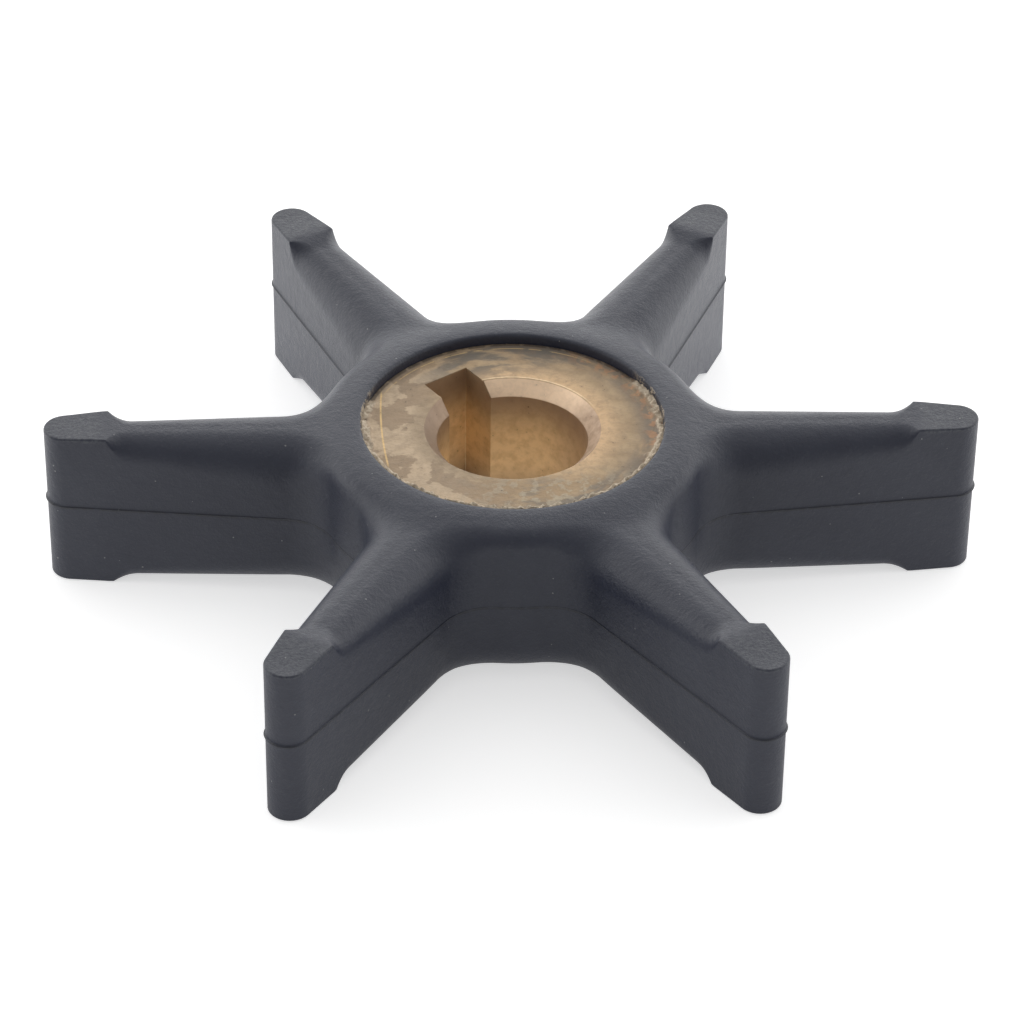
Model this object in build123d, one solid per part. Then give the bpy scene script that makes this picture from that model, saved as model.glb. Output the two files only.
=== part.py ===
from build123d import *
import math
import os

# Flexible-vane pump impeller.
# A rubber body with six vanes is moulded and bonded round a keyed brass hub.
# Z runs along the bore, the underside of the rubber hub lies on Z = 0 and one vane points along +X.

# Brass hub, turned and broached
BORE_RADIUS = 5.5
BRASS_WALL = 5.6
BRASS_RECESS = 0.78
CHAMFER_WIDTH = 0.95
CHAMFER_DEPTH = 1.05
KEYWAY_WIDTH = 3.8
KEYWAY_DEPTH = 2.75
KEYWAY_ANGLE = 125.0

# Rubber body: hub ring, vanes and tip pads
HUB_HEIGHT = 12.9
RUBBER_WALL = 2.85
VANES = 6
TIP_RADIUS = 34.1
TIP_ROUND = 1.58
VANE_TAPER = 6.5
VANE_ROOT_SINK = 2.8
VALLEY_ROUND = 4.2
RIDGE_STEP = 0.65
RIDGE_CREST = 0.9
ROOT_REACH = 2.25
RISE_RUN = 2.6
PAD_STEP = 0.3
PAD_LENGTH = 4.3
PAD_SLOPE_RUN = 1.6
PAD_SLOPE_DROP = 1.9

# How near two places must be to count as the same place
TOUCH = 0.01

# Sizes that follow from the driving dimensions
brass_radius = BORE_RADIUS + BRASS_WALL
brass_height = HUB_HEIGHT - 2 * BRASS_RECESS
keyway_reach = BORE_RADIUS + KEYWAY_DEPTH
hub_radius = brass_radius + RUBBER_WALL
mid_height = HUB_HEIGHT / 2
ridge_half = mid_height - RIDGE_STEP
pad_half = mid_height - PAD_STEP
pad_start = TIP_RADIUS - PAD_LENGTH
slope_start = pad_start - PAD_SLOPE_RUN
slope_foot = pad_half - PAD_SLOPE_DROP
rise_start = hub_radius + ROOT_REACH
rise_end = rise_start + RISE_RUN
beyond_tip = TIP_RADIUS + PAD_LENGTH

# The sides of a vane lean together towards a nose that is a full round.
lean = math.radians(VANE_TAPER)
nose_centre = TIP_RADIUS - TIP_ROUND
tangent_x = nose_centre + TIP_ROUND * math.sin(lean)
tangent_y = TIP_ROUND * math.cos(lean)


def half_width(reach):
    return tangent_y + (tangent_x - reach) * math.tan(lean)


# The roll along the rims leaves a narrow flat crest where the vane is thinnest.
rim_roll = half_width(pad_start) - RIDGE_CREST / 2


# Rubber body

def is_on_hub(corner):
    return abs(math.hypot(corner.X, corner.Y) - hub_radius) < TOUCH


# In plan the vanes run out of a round hub, with a generous round in each valley between them.
with BuildSketch() as plan:
    root_x = hub_radius - VANE_ROOT_SINK
    Circle(hub_radius)
    with PolarLocations(0, VANES):
        Polygon(
            (root_x, half_width(root_x)),
            (tangent_x, tangent_y),
            (tangent_x, -tangent_y),
            (root_x, -half_width(root_x)),
            align=None,
        )
        with Locations((nose_centre, 0)):
            Circle(TIP_ROUND)
    fillet(plan.vertices().filter_by(is_on_hub), VALLEY_ROUND)

# The upper half of the mould forms everything above the parting plane.
blank = extrude(plan.sketch, mid_height)

# A rim runs round the top of the blank as far as the pads.
def is_rim(edge):
    middle = edge @ 0.5
    return math.hypot(middle.X, middle.Y) < pad_start - TOUCH

def rolled(level):
    body = extrude(plan.sketch, level) & Cylinder(pad_start, HUB_HEIGHT)
    top = body.faces().sort_by(Axis.Z)[-1]
    return fillet(top.edges().filter_by(is_rim), rim_roll)

# The hub and the roots of the vanes stand at full height out to where the ridges begin to fall.
with BuildPart() as hub_limit:
    with BuildSketch():
        RegularPolygon(rise_start, VANES, major_radius=False, rotation=180 / VANES)
    extrude(amount=mid_height)
hub_body = rolled(mid_height) & hub_limit.part

# The ridges of the vanes lie a step lower and carry the same roll along their rims.
vane_limit = Pos(rise_end, 0, 0) * Box(
    beyond_tip,
    beyond_tip / 2,
    HUB_HEIGHT,
    align=(Align.MIN, Align.CENTER, Align.CENTER),
)
ridge = rolled(ridge_half) & vane_limit

# Between them a sloping length joins the end of the root to the start of the ridge.
root_end = hub_body.faces().filter_by(Axis.X).sort_by(Axis.X)[-1]
ridge_start = ridge.faces().filter_by(Axis.X).sort_by(Axis.X)[0]
rise = loft([root_end, ridge_start], ruled=True)

# Each vane ends in a taller pad with crisp edges, whose inner end slopes down into the ridge.
with BuildPart() as pad_envelope:
    with BuildSketch(Plane.XZ):
        Polygon(
            (slope_start, 0),
            (slope_start, slope_foot),
            (pad_start, pad_half),
            (beyond_tip, pad_half),
            (beyond_tip, 0),
            align=None,
        )
    extrude(amount=PAD_LENGTH, both=True)
pad = blank & pad_envelope.part

# Six like vanes stand round the hub, and the lower half is the mirror of the upper one.
vane = rise + ridge + pad
vanes = [vane.rotate(Axis.Z, index * 360 / VANES) for index in range(VANES)]
upper_half = hub_body + vanes
rubber_body = upper_half + mirror(upper_half, about=Plane.XY)

# The brass fills the bore of the rubber, apart from a shallow recess at each end.
brass_bore = Cylinder(brass_radius, HUB_HEIGHT)
rubber_vanes = Pos(0, 0, mid_height) * (rubber_body - brass_bore)

# Brass hub

# A turned sleeve has a chamfer at each mouth of its bore and one keyway broached right through.
with BuildPart(Plane.XY.offset(mid_height)) as brass:
    Cylinder(brass_radius, brass_height)
    Cylinder(BORE_RADIUS, brass_height, mode=Mode.SUBTRACT)
    mouths = brass.edges().filter_by(GeomType.CIRCLE).sort_by(SortBy.RADIUS)[:2]
    chamfer(mouths, CHAMFER_WIDTH, CHAMFER_DEPTH)
    with Locations(Rotation(0, 0, KEYWAY_ANGLE)):
        Box(
            keyway_reach,
            KEYWAY_WIDTH,
            brass_height,
            align=(Align.MIN, Align.CENTER, Align.CENTER),
            mode=Mode.SUBTRACT,
        )
brass_hub = brass.part

os.makedirs("parts", exist_ok=True)
export_step(rubber_vanes, "parts/rubber_vanes.step")
export_step(brass_hub, "parts/brass_hub.step")
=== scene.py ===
import math

import bmesh
import bpy
from mathutils import Matrix, Vector, noise


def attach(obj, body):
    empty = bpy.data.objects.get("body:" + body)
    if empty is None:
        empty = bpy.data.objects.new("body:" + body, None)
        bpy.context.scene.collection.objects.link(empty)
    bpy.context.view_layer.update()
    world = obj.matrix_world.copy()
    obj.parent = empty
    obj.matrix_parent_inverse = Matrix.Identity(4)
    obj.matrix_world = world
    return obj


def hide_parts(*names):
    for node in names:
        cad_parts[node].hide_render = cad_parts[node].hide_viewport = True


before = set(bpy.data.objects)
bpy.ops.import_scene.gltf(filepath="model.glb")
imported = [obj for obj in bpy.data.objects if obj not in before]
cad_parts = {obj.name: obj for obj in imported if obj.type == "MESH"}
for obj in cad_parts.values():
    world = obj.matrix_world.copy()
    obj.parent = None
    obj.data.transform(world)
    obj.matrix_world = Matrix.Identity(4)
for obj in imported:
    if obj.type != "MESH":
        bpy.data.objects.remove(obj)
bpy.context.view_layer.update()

# Rubber vanes
# One moulding of charcoal rubber: a hub ring and six vanes with thick tip pads.
# It is moulded round the brass in a two-part mould, whose joint leaves a line of flash.

MM = 0.001
VANES = 6
HALF_PITCH = math.radians(180 / VANES)

# Plan of the moulding
HUB_WALL = 14.4
LIP_RADIUS = 11.22
TIP_RADIUS = 33.94
NOSE = 1.58
TAPER = math.radians(6.5)
VALLEY = 4.2

# Heights, and the reaches between which the top eases from one level to the next
HUB_HEIGHT = 12.9
HUB_LEVEL = HUB_HEIGHT / 2
HUB_FALL_START = 11.6
HUB_FALL_END = 15.2
PAD_RISE = 27.4
PAD_START = 29.4
PAD_RISE_END = PAD_START + 0.3
PAD_TOE = 33.0

# Heights from the middle, half width of the crest and roll of the hub, for the upper and lower half
HALVES = {
    1: {"ridge": 6.0, "pad heel": 6.3, "pad toe": 6.17, "crest": 0.35, "hub roll": 1.2},
    -1: {"ridge": 6.08, "pad heel": 6.42, "pad toe": 6.42, "crest": 0.95, "hub roll": 2.8},
}
LARGEST_ROLL = 3.0
CRISP_ROLL = 0.14
ROLL_RUN_OUT = 1.55
# Powers of the curve by which the roll runs out, from the full side and from the crisp side
FULL_POWER = 2.4
CRISP_POWER = 0.9

# The draft is full at the first of these columns and has run out at the second.
DRAFT = math.tan(math.radians(1.4))
DRAFT_COLUMNS = (6, 24)

# Flash at the joint of the mould, which lies a little above the middle
PARTING = 0.18
FLASH = 0.07
NOSE_FLASH = 0.115
LEAST_FLASH = 0.02
FLASH_HALF = 0.05
FLASH_GROWS = (14, 22)
NOSE_FLASH_GROWS = (32.6, 33.7)
# Row of the mesh, share of the flash's reach and share of its half thickness
FLASH_ROWS = ((-2, 0, -1), (-1, 0.85, -0.5), (0, 1, 0), (1, 0.85, 0.5), (2, 0, 1))

# The nose is a full round, and the two flanks lean together until they touch it.
nose_centre = TIP_RADIUS - NOSE
flank_end = nose_centre + NOSE * math.sin(TAPER)
flank_end_half = NOSE * math.cos(TAPER)


def half_width(reach):
    """Half the width of a vane at a distance from the axis."""
    return flank_end_half + (flank_end - reach) * math.tan(TAPER)


# The centre of the valley round is its own radius away from the hub wall and from the flank.
apex = flank_end + flank_end_half / math.tan(TAPER)
valley_reach = HUB_WALL + VALLEY
valley_turn = math.asin((apex * math.sin(TAPER) + VALLEY) / valley_reach) - TAPER
valley_centre = Vector((valley_reach * math.cos(valley_turn), valley_reach * math.sin(valley_turn)))
flank_start = valley_centre.x - VALLEY * math.sin(TAPER)
inward_of_flank = Vector((-math.sin(TAPER), -math.cos(TAPER)))


def spaced(start, end, steps):
    """Even steps from the start, without the end."""
    return [start + (end - start) * step / steps for step in range(steps)]


# How many columns the mesh has along each stretch of the outline
HUB_COLUMNS = 4
VALLEY_COLUMNS = 14
RIDGE_COLUMNS = 30
HEEL_COLUMNS = 5
EDGE_COLUMNS = 16
PAD_COLUMNS = 12
NOSE_COLUMNS = 14
FLANK_FIRST = HUB_COLUMNS + VALLEY_COLUMNS
HEEL_START = 27.2
# The columns close up over this length before the crisp edge of the pad.
EDGE_LENGTH = 1.5

# The outline of half a vane runs from the middle of the valley to the end of the nose.
# Each of its places comes with the way into the rubber from there.
outline = []
for angle in spaced(HALF_PITCH, valley_turn, HUB_COLUMNS):
    out = Vector((math.cos(angle), math.sin(angle)))
    outline.append((out * HUB_WALL, -out))
for angle in spaced(math.pi + valley_turn, 1.5 * math.pi - TAPER, VALLEY_COLUMNS):
    out = Vector((math.cos(angle), math.sin(angle)))
    outline.append((valley_centre + out * VALLEY, out))
reaches = spaced(flank_start, HEEL_START, RIDGE_COLUMNS)
reaches += spaced(HEEL_START, PAD_START - EDGE_LENGTH, HEEL_COLUMNS)
reaches += [PAD_START - EDGE_LENGTH * (1 - step / EDGE_COLUMNS) ** 2 for step in range(EDGE_COLUMNS)]
reaches += spaced(PAD_START, flank_end, PAD_COLUMNS)
for reach in reaches:
    outline.append((Vector((reach, half_width(reach))), inward_of_flank))
for angle in spaced(math.pi / 2 - TAPER, 0, NOSE_COLUMNS) + [0.0]:
    out = Vector((math.cos(angle), math.sin(angle)))
    outline.append((Vector((nose_centre, 0)) + out * NOSE, -out))

# The inner ends of the columns lie round the lip of the bore, then along the middle of the vane,
# where they catch up with their outer ends over a few millimetres and draw together in the nose.
CATCH_UP = 4.0
NOSE_DRAW = 0.4
inner = [
    LIP_RADIUS * Vector((math.cos(angle), math.sin(angle)))
    for angle in spaced(HALF_PITCH, 0, FLANK_FIRST)
]
corner = outline[FLANK_FIRST][0].x
for place, inward in outline[FLANK_FIRST:]:
    behind = (corner - LIP_RADIUS) * math.exp((corner - place.x) / CATCH_UP)
    reach = min(place.x - behind, nose_centre + NOSE_DRAW * (place.x - nose_centre))
    inner.append(Vector((reach, 0)))


def ease(low, high, value):
    """0 up to low and 1 from high on, eased between them."""
    part = min(max((value - low) / (high - low), 0.0), 1.0)
    return part * part * (3 - 2 * part)


def level(place, side):
    """How far the middle of a vane or the hub face stands from the middle height there."""
    half = HALVES[side]
    pad = half["pad heel"] + (half["pad toe"] - half["pad heel"]) * ease(PAD_START, PAD_TOE, place.x)
    low = half["ridge"] + (pad - half["ridge"]) * ease(PAD_RISE, PAD_RISE_END, place.x)
    return HUB_LEVEL - (HUB_LEVEL - low) * ease(HUB_FALL_START, HUB_FALL_END, place.length)


def roll(index, side):
    """How large the roll of the rim is at one column, down to a crisp edge round the pad."""
    place = outline[index][0]
    half = HALVES[side]
    vane_roll = min(LARGEST_ROLL, half_width(max(place.x, flank_start)) - half["crest"])
    if index < FLANK_FIRST:
        return half["hub roll"] + (vane_roll - half["hub roll"]) * ease(HUB_COLUMNS, FLANK_FIRST, index)
    left_to_pad = min(max((PAD_START - place.x) / ROLL_RUN_OUT, 0.0), 1.0)
    return max(CRISP_ROLL, vane_roll * (1 - (1 - left_to_pad) ** FULL_POWER) ** CRISP_POWER)


WALL_STEPS = 9
ROLL_STEPS = 12
TOP_STEPS = 8
# The first step up the wall is short, so that the flash doesn't shade the wall beyond it.
FIRST_STEP = 0.05


def column(index, side):
    """Places in plan and heights, up the wall, over the roll and in to the inner end."""
    place, inward = outline[index]
    radius = roll(index, side)
    foot = level(place, side) - radius
    start = FLASH_HALF + PARTING * side
    draft = DRAFT * (1 - ease(*DRAFT_COLUMNS, index))
    long_steps = WALL_STEPS - 1
    heights = [start + FIRST_STEP]
    heights += [start + (foot - start) * step / long_steps for step in range(1, long_steps + 1)]
    steps = [(place + inward * draft * height, height) for height in heights]
    edge = steps[-1][0]
    for step in range(1, ROLL_STEPS + 1):
        turn = math.pi / 2 * step / ROLL_STEPS
        inside = edge + inward * radius * (1 - math.cos(turn))
        steps.append((inside, level(inside, side) - radius * (1 - math.sin(turn))))
    last = edge + inward * radius
    for step in range(1, TOP_STEPS + 1):
        inside = last.lerp(inner[index], step / TOP_STEPS)
        steps.append((inside, level(inside, side)))
    return steps


def flash_reach(place):
    """How far the flash stands out: hardly at all in the valleys and most on the noses."""
    on_flank = FLASH * ease(*FLASH_GROWS, place.x)
    return on_flank + (NOSE_FLASH - FLASH) * ease(*NOSE_FLASH_GROWS, place.x) + LEAST_FLASH


def grid_columns(shape, columns, rows):
    """Gives an empty shape a flat grid, and returns the points of each of its columns."""
    bmesh.ops.create_grid(shape, x_segments=columns - 1, y_segments=rows - 1, size=1)
    spots = sorted(shape.verts, key=lambda spot: (round(spot.co.x, 4), spot.co.y))
    return [spots[first:first + rows] for first in range(0, columns * rows, rows)]


# Half a vane is a grid with a column for each place of the outline and the flash in its middle rows.
height_steps = WALL_STEPS + ROLL_STEPS + TOP_STEPS
upper_first = height_steps + len(FLASH_ROWS)
middle_row = height_steps + len(FLASH_ROWS) // 2
rubber = bmesh.new()
for index, strip in enumerate(grid_columns(rubber, len(outline), height_steps + upper_first)):
    place, inward = outline[index]
    for row, stand, rise in FLASH_ROWS:
        out = place - inward * flash_reach(place) * stand
        strip[middle_row + row].co = (*out, PARTING + FLASH_HALF * rise)
    for step, (spot, height) in enumerate(column(index, 1)):
        strip[upper_first + step].co = (*spot, height)
    for step, (spot, height) in enumerate(column(index, -1)):
        strip[height_steps - 1 - step].co = (*spot, -height)

# The half vane is mirrored into a whole one and the six of them close the ring.
# Points closer than the weld become one.
WELD = 0.004
bmesh.ops.mirror(
    rubber,
    geom=rubber.verts[:] + rubber.edges[:] + rubber.faces[:],
    axis="Y",
    merge_dist=-1,
)
bmesh.ops.spin(
    rubber,
    geom=rubber.verts[:] + rubber.edges[:] + rubber.faces[:],
    cent=(0, 0, 0),
    axis=(0, 0, 1),
    angle=math.radians(360 - 360 / VANES),
    steps=VANES - 1,
    use_duplicate=True,
)
bmesh.ops.remove_doubles(rubber, verts=rubber.verts, dist=WELD)

# The lip of the bore turns down to the brass through these radii and heights from the middle,
# and its two ends join through the bore.
LIP = ((11.12, 6.42), (11.03, 6.34), (10.98, 6.2), (10.94, 5.9), (10.92, 5.4))
rims = [edge for edge in rubber.edges if edge.is_boundary]
ends = []
for side in (1, -1):
    loop = [edge for edge in rims if edge.verts[0].co.z * side > 0]
    for radius, height in LIP:
        made = bmesh.ops.extrude_edge_only(rubber, edges=loop)["geom"]
        for spot in (item for item in made if isinstance(item, bmesh.types.BMVert)):
            flat = spot.co.xy.normalized() * radius
            spot.co = (flat.x, flat.y, height * side)
        loop = [item for item in made if isinstance(item, bmesh.types.BMEdge) and item.is_boundary]
    ends += loop
bmesh.ops.bridge_loops(rubber, edges=ends)


def feed(node, sockets):
    """Links shader values to a node's sockets, and sets plain numbers and colours on them."""
    for name, value in sockets.items():
        socket = node.inputs[name]
        if isinstance(value, Shade):
            socket.id_data.links.new(value.socket, socket)
        else:
            socket.default_value = value


class Shade:
    """A value in a shader, which is worked with like a number."""

    def __init__(self, socket):
        self.socket = socket

    def node(self, kind, settings, sockets, output=0):
        """Adds any other node to the same shader: its settings first, then its sockets."""
        made = self.socket.id_data.nodes.new("ShaderNode" + kind)
        for name, value in settings.items():
            setattr(made, name, value)
        feed(made, sockets)
        return Shade(made.outputs[output])

    def math(self, operation, *others):
        return self.node("Math", {"operation": operation}, dict(enumerate((self, *others))))

    def __add__(self, other):
        return self.math("ADD", other)

    def __sub__(self, other):
        return self.math("SUBTRACT", other)

    def __mul__(self, other):
        return self.math("MULTIPLY", other)

    def __truediv__(self, other):
        return self.math("DIVIDE", other)

    def __rsub__(self, other):
        return (self * -1.0) + other

    __radd__ = __add__
    __rmul__ = __mul__

    def above(self, low, high):
        """0 up to low and 1 from high on, eased between them."""
        sockets = {0: self, 1: low, 2: high, 3: 0.0, 4: 1.0}
        return self.node("MapRange", {"interpolation_type": "SMOOTHSTEP"}, sockets)

    def line_at(self, value, inside, outside):
        """1 on a line along which this has the value, fading to 0 between two distances from it."""
        return 1.0 - (self - value).math("ABSOLUTE").above(inside, outside)

    def blend(self, first, second):
        """The first colour where this is 0 and the second where it is 1."""
        return self.node("Mix", {"data_type": "RGBA"}, {0: self, 6: first, 7: second}, 2)

    def noise(self, scale, detail, roughness=0.55):
        """Cloudy noise at this place."""
        sockets = {"Vector": self, "Scale": scale, "Detail": detail, "Roughness": roughness}
        return self.node("TexNoise", {}, sockets)

    def bump(self, distance, strength, under=None):
        """A normal with this as its relief, over the normal of another bump if there is one."""
        sockets = {"Height": self, "Distance": distance * MM, "Strength": strength}
        if under:
            sockets["Normal"] = under
        return self.node("Bump", {}, sockets)


def new_look(name):
    """A material and its surface node, with the place of each point in millimetres, whole and by axis."""
    look = bpy.data.materials.new(name)
    look.use_nodes = True
    surface = look.node_tree.nodes["Principled BSDF"]
    metres = Shade(surface.outputs[0]).node("TexCoord", {}, {}, "Object")
    place = metres.node("VectorMath", {"operation": "SCALE"}, {"Vector": metres, "Scale": 1 / MM})
    return look, surface, place, [place.node("SeparateXYZ", {}, {0: place}, axis) for axis in "XYZ"]


def finish_piece(name, shape, look, node):
    """Makes the object from its shape in millimetres about the middle of the bore."""
    bmesh.ops.scale(shape, vec=Vector((MM, MM, MM)), verts=shape.verts)
    bmesh.ops.translate(shape, vec=Vector((0, 0, HUB_LEVEL * MM)), verts=shape.verts)
    bmesh.ops.recalc_face_normals(shape, faces=shape.faces)
    mesh = bpy.data.meshes.new(name)
    shape.to_mesh(mesh)
    shape.free()
    for face in mesh.polygons:
        face.use_smooth = True
    mesh.materials.append(look)
    piece = bpy.data.objects.new(name, mesh)
    bpy.context.scene.collection.objects.link(piece)
    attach(piece, "root")
    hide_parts(node)


rubber_look, rubber_surface, place, (x, y, z) = new_look("charcoal rubber")
distance = (x * x + y * y).math("SQRT")

# Noises of the rubber, by how many of their blotches lie in a millimetre
MOTTLE_SCALE = 0.16
FINE_SCALE = 1.4
GRAIN_SCALE = 4.2
mottle = place.noise(MOTTLE_SCALE, 4.0)
fine = place.noise(FINE_SCALE, 4.0)
grain = place.noise(GRAIN_SCALE, 4.0, 0.7)

# Charcoal in two mottled tones, with a greyer grain
DEEP_CHARCOAL = (0.011, 0.014, 0.03, 1)
GREY_CHARCOAL = (0.016, 0.0195, 0.036, 1)
GREY_GRAIN = (0.045, 0.05, 0.06, 1)
tint = mottle.above(0.35, 0.7).blend(DEEP_CHARCOAL, GREY_CHARCOAL)
tint = (grain.above(0.55, 0.8) * 0.5).blend(tint, GREY_GRAIN)

# The tops of the pads are rubbed grey.
RUBBED_REACH = (29.4, 30.2)
RUBBED_HEIGHT = (12.3, 12.5)
RUBBED_GREY = (0.05, 0.055, 0.066, 1)
rubbed = distance.above(*RUBBED_REACH) * z.above(*RUBBED_HEIGHT) * grain.above(0.4, 0.6)
tint = (rubbed * 0.6).blend(tint, RUBBED_GREY)

# Specks of pale dust lie here and there.
DUST_SCALE = 0.9
DUST_GREY = (0.3, 0.3, 0.29, 1)
cells = place.node("TexVoronoi", {}, {"Vector": place, "Scale": DUST_SCALE})
dust = (1.0 - (cells + grain * 0.1).above(0.09, 0.12)) * fine.above(0.5, 0.56)
tint = (dust * 0.5).blend(tint, DUST_GREY)

# A broken dark line of painted shade runs along the lower edge of the flash, where it overhangs the wall.
SEAM_HEIGHT = 6.57
SEAM_HALF = (0.06, 0.17)
FLASH_SHADE_DARK = (0.003, 0.004, 0.008, 1)
flash_shade = z.line_at(SEAM_HEIGHT, *SEAM_HALF) * fine.above(0.3, 0.55)
tint = (flash_shade * 0.65).blend(tint, FLASH_SHADE_DARK)

# Bonding paste was squeezed out at the left and right of the bore and has dried on the upper lip.
PASTE_LEFT = Vector((-0.978, -0.208, 0))
PASTE_RIGHT = Vector((0.995, -0.1, 0))
DRY_REACH = (11.24, 11.3)
DRY_HEIGHT = (11.0, 11.6)
DRY_PASTE = (0.4, 0.33, 0.24, 1)
left = (x * PASTE_LEFT.x + y * PASTE_LEFT.y) / distance
right = (x * PASTE_RIGHT.x + y * PASTE_RIGHT.y) / distance
sides = left.above(0.78, 0.93) + right.above(0.74, 0.88) * 0.7
lip = (1.0 - (distance + grain * 0.4).above(*DRY_REACH)) * z.above(*DRY_HEIGHT)
residue = lip * (grain * 0.5 + fine * 0.5).above(0.5, 0.53) * sides
tint = residue.blend(tint, DRY_PASTE)

feed(rubber_surface, {
    "Base Color": tint,
    "Roughness": 0.4 + 0.12 * fine,
    "Specular IOR Level": 0.6,
    "Normal": grain.bump(0.05, 0.9, fine.bump(0.1, 0.5)),
})
finish_piece("rubber_body", rubber, rubber_look, "rubber_vanes")

# Brass hub
# A sleeve turned from brass bar, chamfered at both mouths of its bore and broached for a key.
# The rubber is bonded to its outside, which leaves a ragged crust of bonding paste at its margin.

BORE = 5.5
CHAMFER_OUTER = 6.45
CHAMFER_DEPTH = 1.05
BRASS_RADIUS = 10.9
FACE = 5.67
CHAMFER_FOOT = FACE - CHAMFER_DEPTH
KEY_HALF = 1.9
KEY_REACH = 8.25
KEY_TURN = math.radians(125)

# Columns of the mesh round the bore and along the side and the end of the keyway.
# The first and last of them stand close to the corners and keep them crisp.
ROUND_COLUMNS = 330
SIDE_COLUMNS = 12
END_COLUMNS = 18
NICK = 0.05
FIRST_GAP = 0.2
LAST_GAP = 0.15
NICK_TURN = 0.008
GAP_TURN = 0.03


def bore_outline(radius):
    """The bore with its keyway, as far from the axis as radius where it is round."""
    turn = math.asin(KEY_HALF / radius)
    corner = radius * math.cos(turn)
    turns = [turn, turn + NICK_TURN]
    turns += spaced(turn + GAP_TURN, 2 * math.pi - turn - GAP_TURN, ROUND_COLUMNS)
    places = [Vector((radius * math.cos(angle), radius * math.sin(angle))) for angle in turns]
    places.append(Vector((places[1].x, -places[1].y)))
    sides = [corner, corner + NICK]
    sides += spaced(corner + FIRST_GAP, KEY_REACH - LAST_GAP, SIDE_COLUMNS) + [KEY_REACH - NICK]
    ends = [-KEY_HALF, NICK - KEY_HALF]
    ends += spaced(FIRST_GAP - KEY_HALF, KEY_HALF - LAST_GAP, END_COLUMNS) + [KEY_HALF - NICK]
    places += [Vector((reach, -KEY_HALF)) for reach in sides]
    places += [Vector((KEY_REACH, across)) for across in ends]
    places += [Vector((KEY_REACH + corner - reach, KEY_HALF)) for reach in sides]
    return places + [places[0]]


throat = bore_outline(BORE)
mouth = bore_outline(CHAMFER_OUTER)
outward = [place.normalized() for place in mouth]
key_turn = Matrix.Rotation(KEY_TURN, 3, "Z")

# The crust is thick at the left and right, and a thinner fringe of it runs round the front.
PASTE_FRONT = Vector((0.05, -0.999, 0))
LEFT_SPAN = (0.8, 0.95)
RIGHT_SPAN = (0.74, 0.86)
FRONT_SPAN = (0.1, 0.4)
PASTE_MARGIN = 10.25
PASTE_WIDTH = 0.5
PASTE_SPREAD = 0.1
HIGHEST_PASTE = 0.74
FRINGE_REACH = (10.3, 10.7)
ROUGH_SCALE = 3.1
RAGGED_SCALE = 0.9
ROUGH_PATCH = Vector((0, 0, 7))
RAGGED_PATCH = Vector((0, 0, 3))


def crust(radius, out):
    """How high the paste stands on the face, and how far it spreads over the lip."""
    around = key_turn @ Vector((*out, 0))
    left = ease(*LEFT_SPAN, around.dot(PASTE_LEFT))
    right = ease(*RIGHT_SPAN, around.dot(PASTE_RIGHT))
    front = ease(*FRONT_SPAN, around.dot(PASTE_FRONT))
    rough = noise.noise(around * radius * ROUGH_SCALE + ROUGH_PATCH)
    ragged = noise.noise(around * radius * RAGGED_SCALE + RAGGED_PATCH)
    much = max(left, 0.8 * right)
    margin = PASTE_MARGIN - 0.4 * ragged - 0.2 * rough
    thick = much * (0.3 + 0.3 * rough + 0.15 * ragged)
    height = ease(margin, margin + PASTE_WIDTH, radius) * thick
    fringe = front * ease(*FRINGE_REACH, radius) * (0.56 + 0.5 * rough + 0.2 * ragged)
    return min(HIGHEST_PASTE, max(height, fringe)), PASTE_SPREAD * much


# The upper half is a stack of rings, from the middle of the bore over the chamfer and the face
# to the outside. Beyond the steady radius they are round and close enough for the crust.
BORE_HEIGHTS = (0.0, 1.2, 2.4, 3.6, CHAMFER_FOOT - NICK)
CHAMFER_PARTS = (0.0, 0.05, 0.3, 0.55, 0.8, 0.95, 1.0)
FACE_PARTS = (0.02, 0.12, 0.25, 0.4, 0.55, 0.7, 0.85, 1.0)
STEADY = 8.8
CRUST_STEP = 0.085
CRUST_END = BRASS_RADIUS - 0.05
SPREAD_START = 10.4
OUTSIDE_HEIGHTS = (FACE - 0.1, 2.5)

profile = []
for height in BORE_HEIGHTS:
    profile.append([Vector((*place, height)) for place in throat])
for part in CHAMFER_PARTS:
    between = bore_outline(BORE + (CHAMFER_OUTER - BORE) * part)
    profile.append([Vector((*place, FACE - CHAMFER_DEPTH * (1 - part))) for place in between])
for part in FACE_PARTS:
    profile.append([
        Vector((*place.lerp(out * STEADY, part), FACE)) for place, out in zip(mouth, outward)
    ])
radius = STEADY
while radius < CRUST_END:
    radius += CRUST_STEP
    ring = []
    for out in outward:
        height, spread = crust(radius, out)
        reach = radius + spread * ease(SPREAD_START, BRASS_RADIUS, radius)
        ring.append(Vector((*(out * reach), FACE + height)))
    profile.append(ring)
for height in OUTSIDE_HEIGHTS:
    profile.append([Vector((*(out * BRASS_RADIUS), height)) for out in outward])

# The lower half is the same with a plain face. The two meet in the bore and are bridged outside.
BRASS_WELD = 0.002
brass = bmesh.new()
for index, strip in enumerate(grid_columns(brass, len(mouth), 2 * len(profile))):
    for step, ring in enumerate(profile):
        place = key_turn @ ring[index]
        strip[len(profile) + step].co = place
        strip[len(profile) - 1 - step].co = (place.x, place.y, -min(place.z, FACE))
bmesh.ops.remove_doubles(brass, verts=brass.verts, dist=BRASS_WELD)
bmesh.ops.bridge_loops(brass, edges=[edge for edge in brass.edges if edge.is_boundary])

brass_look, brass_surface, place, (x, y, z) = new_look("tarnished brass")
reach = (x * x + y * y).math("SQRT")
high = (z - HUB_LEVEL).math("ABSOLUTE")

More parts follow.
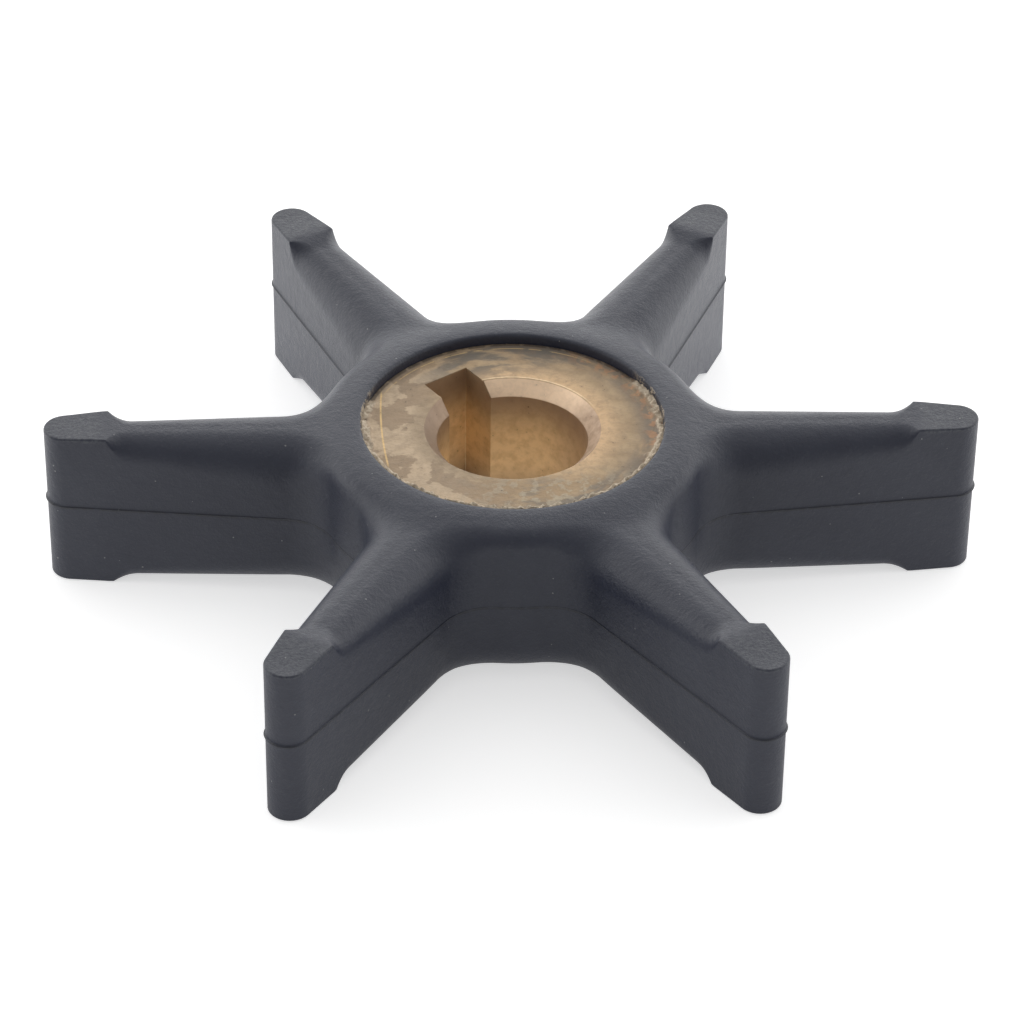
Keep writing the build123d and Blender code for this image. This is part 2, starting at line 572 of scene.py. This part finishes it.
# The faces, and the chamfers, which stop at the walls of the keyway
on_face = reach.above(CHAMFER_OUTER - 0.06, CHAMFER_OUTER) * high.above(FACE - 0.12, FACE - 0.07)
on_chamfer = (1.0 - on_face) * high.above(CHAMFER_FOOT - 0.04, CHAMFER_FOOT + 0.02)
along = x * math.cos(KEY_TURN) + y * math.sin(KEY_TURN)
across = (y * math.cos(KEY_TURN) - x * math.sin(KEY_TURN)).math("ABSOLUTE")
in_keyway = along.above(4.0, 4.2) * (1.0 - across.above(KEY_HALF + 0.02, KEY_HALF + 0.05))
on_chamfer = on_chamfer * (1.0 - in_keyway)

# Streaks run round the axis as the lathe tool did, and blotches come in three sizes.
STREAK_ROUND = 2.6
STREAK_OUTWARD = 0.9
BLOTCH_SCALE = 0.33
SMALL_SCALE = 1.3
SPECK_SCALE = 4.0
round_axis = {"X": x / reach * STREAK_ROUND, "Y": y / reach * STREAK_ROUND, "Z": reach * STREAK_OUTWARD}
streaks = reach.node("CombineXYZ", {}, round_axis).noise(1.0, 5.0, 0.6)
blotch = place.noise(BLOTCH_SCALE, 5.0)
small = place.noise(SMALL_SCALE, 5.0)
speck = place.noise(SPECK_SCALE, 3.0)

# Quarters of the upper face that are stained in their own ways, and the side on which highlights are
# painted
top = z.above(6.0, 7.0)
left = (y * -0.25 - x).above(1.0, 7.0) * top
back = (y - x * 0.25).above(5.5, 9.0) * top
right = (x + y * 0.7).above(5.5, 9.5) * top
near = (y * -1.0).above(4.5, 8.0) * top
highlight_side = (x * 0.31 + y * 0.95).above(3.6, 5.8)

# The bore is golden, with painted shade that darkens it towards its mouths and on the right.
BORE_GOLD = (0.84, 0.6, 0.31, 1)
BORE_AMBER = (0.74, 0.51, 0.25, 1)
BORE_SHADOW = (0.2, 0.125, 0.085, 1)
BORE_RIGHT_SHADE = (0.3, 0.19, 0.12, 1)
bore = small.above(0.4, 0.68).blend(BORE_GOLD, BORE_AMBER)
bore = (high.above(0.8, 4.7) * 0.8).blend(bore, BORE_SHADOW)
bore = (x.above(2.4, 5.4) * 0.5).blend(bore, BORE_RIGHT_SHADE)

# The chamfer is brown on the left, and a highlight is painted on it at the back, on the side towards the
# light.
BEVEL_PALE = (0.5, 0.36, 0.25, 1)
BEVEL_TAN = (0.38, 0.26, 0.17, 1)
BEVEL_BROWN = (0.24, 0.165, 0.11, 1)
BEVEL_HIGHLIGHT = (1.0, 0.75, 0.52, 1)
bevel = small.above(0.35, 0.7).blend(BEVEL_PALE, BEVEL_TAN)
bevel = (left * 0.9).blend(bevel, BEVEL_BROWN)
bevel = highlight_side.blend(bevel, BEVEL_HIGHLIGHT)

# The face is clean, warm beside the bore except at the front left, and dull in streaks further out.
CLEAN_PALE = (0.44, 0.32, 0.19, 1)
CLEAN_TAN = (0.35, 0.245, 0.14, 1)
CLEAN_WARM = (0.68, 0.46, 0.26, 1)
DULL_OLIVE = (0.19, 0.155, 0.12, 1)
face = blotch.above(0.35, 0.65).blend(CLEAN_PALE, CLEAN_TAN)
beside_bore = (1.0 - reach.above(6.5, 8.6)) * (x * 0.8 + y * 0.6).above(-4.0, 3.0)
face = (beside_bore * 0.8).blend(face, CLEAN_WARM)
dull = reach.above(8.4, 10.0) * streaks.above(0.36, 0.6) * (1.0 - left * 0.7)
face = (dull * 0.85).blend(face, DULL_OLIVE)

# Copper shows at the right, soot and chalky spots lie in front, and the back is grey.
COPPER_RED = (0.5, 0.26, 0.13, 1)
SOOT = (0.2, 0.175, 0.14, 1)
CHALK = (0.5, 0.44, 0.33, 1)
BACK_GREY = (0.13, 0.115, 0.095, 1)
copper = right * reach.above(9.3, 10.2) * small.above(0.48, 0.56)
face = (copper * 0.65).blend(face, COPPER_RED)
face = (near * streaks.above(0.48, 0.6) * 0.6).blend(face, SOOT)
face = (near * small.above(0.5, 0.58) * 0.55).blend(face, CHALK)
face = (back * streaks.above(0.4, 0.58) * 0.85).blend(face, BACK_GREY)

# A flaking film covers the left, and the margin is darker all round.
FILM_PALE = (0.52, 0.4, 0.275, 1)
FILM_BROWN = (0.34, 0.25, 0.165, 1)
FILM_INNER = (0.3, 0.225, 0.145, 1)
MARGIN_BROWN = (0.17, 0.13, 0.1, 1)
film = blotch.above(0.5, 0.53).blend(FILM_PALE, FILM_BROWN)
film = ((1.0 - reach.above(6.8, 8.0)) * 0.7).blend(film, FILM_INNER)
face = (left * 0.85).blend(face, film)
face = (reach.above(10.2, 10.7) * 0.4).blend(face, MARGIN_BROWN)

# A highlight is painted along the outer edge of the chamfer, on the side towards the light.
# Bright metal shows in a long bent scratch on the left and in a turned line at the back.
RIM_RADIUS = 6.52
TURNED_RADIUS = 10.3
RIM_HIGHLIGHT = (0.9, 0.7, 0.45, 1)
SCRATCH_BRIGHT = (0.86, 0.6, 0.26, 1)
# The scratch is a shallow bow, furthest left a little behind its middle, and fades at both ends.
SCRATCH_LEFT = 9.55
SCRATCH_PEAK = 2.0
SCRATCH_BEND = 0.0108
SCRATCH_ENDS = (4.2, 5.0)
rim_highlight = reach.line_at(RIM_RADIUS, 0.03, 0.1) * highlight_side
face = (rim_highlight * 0.8).blend(face, RIM_HIGHLIGHT)
bow = (y - SCRATCH_PEAK) * (y - SCRATCH_PEAK) * SCRATCH_BEND - SCRATCH_LEFT
scratch = x.line_at(bow, 0.03, 0.1) * (1.0 - y.math("ABSOLUTE").above(*SCRATCH_ENDS))
turned = reach.line_at(TURNED_RADIUS, 0.02, 0.07) * back * small.above(0.4, 0.5)
face = (scratch * top * 0.7 + turned * 0.5).blend(face, SCRATCH_BRIGHT)

# The paste is pale where it stands up, and painted shadow lies in gaps at the edge where it doesn't.
PASTE_DARK = (0.36, 0.285, 0.205, 1)
PASTE_PALE = (0.68, 0.58, 0.44, 1)
GAP_SHADOW = (0.03, 0.026, 0.022, 1)
paste = reach.above(10.2, 10.5) * high.above(FACE + 0.05, FACE + 0.16)
face = paste.blend(face, speck.above(0.35, 0.65).blend(PASTE_DARK, PASTE_PALE))
gap_shadow = reach.above(10.55, 10.7) * (1.0 - high.above(FACE + 0.03, FACE + 0.1)) * small.above(0.4, 0.5)
face = (gap_shadow * 0.6).blend(face, GAP_SHADOW)

# Mottling and pits go over the whole sleeve.
MOTTLE_BROWN = (0.2, 0.15, 0.1, 1)
PIT_BLACK = (0.05, 0.03, 0.02, 1)
tint = on_chamfer.blend(bore, bevel)
tint = on_face.blend(tint, face)
mottled = (speck * 0.5 + small * 0.5).above(0.4, 0.65)
tint = (mottled * 0.3 * (0.4 + on_face * 0.6)).blend(tint, MOTTLE_BROWN)
pits = speck.above(0.68, 0.72) * small.above(0.5, 0.6)
tint = (pits * 0.7).blend(tint, PIT_BLACK)

feed(brass_surface, {
    "Base Color": tint,
    "Metallic": 0.35 - on_face * 0.05 - paste * 0.3,
    "Roughness": 0.42 + on_face * 0.16 + paste * 0.2 + small * 0.1,
    "Normal": small.bump(0.12, on_face * 0.5 + 0.15, speck.bump(0.05, on_face * 0.5 + 0.1)),
})
finish_piece("brass_sleeve", brass, brass_look, "brass_hub")

# Floor
# A wide matt white board under the impeller, which catches its shadow.
# It throws more light up at the back of the object than at its front.

FLOOR_HALF = 1.5
FLOOR_WHITE = (0.8, 0.8, 0.8, 1)
# Its glow in front, what is added behind, between which depths, and the glow that the camera sees
FLOOR_FRONT = 0.34
FLOOR_BACK = 0.68
FLOOR_TURNS = (-0.02, 0.04)
FLOOR_SEEN = 0.55

floor_mesh = bpy.data.meshes.new("floor")
floor_shape = bmesh.new()
bmesh.ops.create_grid(floor_shape, x_segments=1, y_segments=1, size=FLOOR_HALF)
floor_shape.to_mesh(floor_mesh)
floor_shape.free()
floor = bpy.data.objects.new("floor", floor_mesh)
floor_look = bpy.data.materials.new("white floor")
floor_look.use_nodes = True
floor_surface = floor_look.node_tree.nodes["Principled BSDF"]
start = Shade(floor_surface.outputs[0])
metres = start.node("TexCoord", {}, {}, "Object")
lit = start.node("SeparateXYZ", {}, {0: metres}, "Y").above(*FLOOR_TURNS)
seen = start.node("LightPath", {}, {}, "Is Camera Ray")
bounced = lit * FLOOR_BACK + FLOOR_FRONT
feed(floor_surface, {
    "Base Color": FLOOR_WHITE,
    "Roughness": 1.0,
    "Specular IOR Level": 0.0,
    "Emission Color": bounced + seen * (FLOOR_SEEN - bounced),
    "Emission Strength": 1.0,
})
floor_mesh.materials.append(floor_look)
bpy.context.scene.collection.objects.link(floor)

# Light
# A white room without lamps, brightest low down behind the impeller and dimmest in front of it.
# The camera itself sees it as plain white.

ROOM_WHITE = (1, 1, 1, 1)
# Its glow in front, what is added behind and what more low behind, and where it turns to those
ROOM_FRONT = 0.42
ROOM_BACK = 0.55
ROOM_LOW_BACK = 1.25
ROOM_TURNS = (-0.55, 0.25)
ROOM_RISES = (0.4, 0.64)

room = bpy.data.worlds.new("white room")
room.use_nodes = True
bpy.context.scene.world = room
sky = room.node_tree.nodes["Background"]
start = Shade(sky.outputs[0])
seen = start.node("LightPath", {}, {}, "Is Camera Ray")
toward = start.node("TexCoord", {}, {}, "Generated")
behind = start.node("SeparateXYZ", {}, {0: toward}, "Y").above(*ROOM_TURNS)
low = 1.0 - start.node("SeparateXYZ", {}, {0: toward}, "Z").above(*ROOM_RISES)
glow = ROOM_FRONT + behind * (ROOM_BACK + low * ROOM_LOW_BACK)
feed(sky, {"Color": ROOM_WHITE, "Strength": glow + seen * (1.0 - glow)})

# Camera
# It looks down on the hub from the front and a little from the left, and leans slightly.

ELEVATION = math.radians(35.97)
TURN = math.radians(-2.405)
LEAN = math.radians(0.688)
DISTANCE = 317.9
SHIFT_RIGHT = 0.030
SHIFT_DOWN = 1.544
SENSOR = 36
LENS = 152.35
NEAREST = 0.01
FARTHEST = 10

back = Vector((0, -math.cos(ELEVATION), math.sin(ELEVATION)))
right = Vector((1, 0, 0))
up = back.cross(right)
eye = back * DISTANCE + right * SHIFT_RIGHT - up * SHIFT_DOWN
across = right * math.cos(LEAN) + up * math.sin(LEAN)
upright = up * math.cos(LEAN) - right * math.sin(LEAN)
facing = Matrix((across, upright, back)).transposed()
turned = Matrix.Rotation(TURN, 3, "Z")
camera_data = bpy.data.cameras.new("camera")
camera_data.sensor_width = SENSOR
camera_data.lens = LENS
camera_data.clip_start = NEAREST
camera_data.clip_end = FARTHEST
camera = bpy.data.objects.new("camera", camera_data)
camera.matrix_world = (turned @ facing).to_4x4()
camera.location = (turned @ eye + Vector((0, 0, HUB_LEVEL))) * MM
bpy.context.scene.collection.objects.link(camera)
bpy.context.scene.camera = camera
bpy.context.scene.view_settings.view_transform = "Standard"
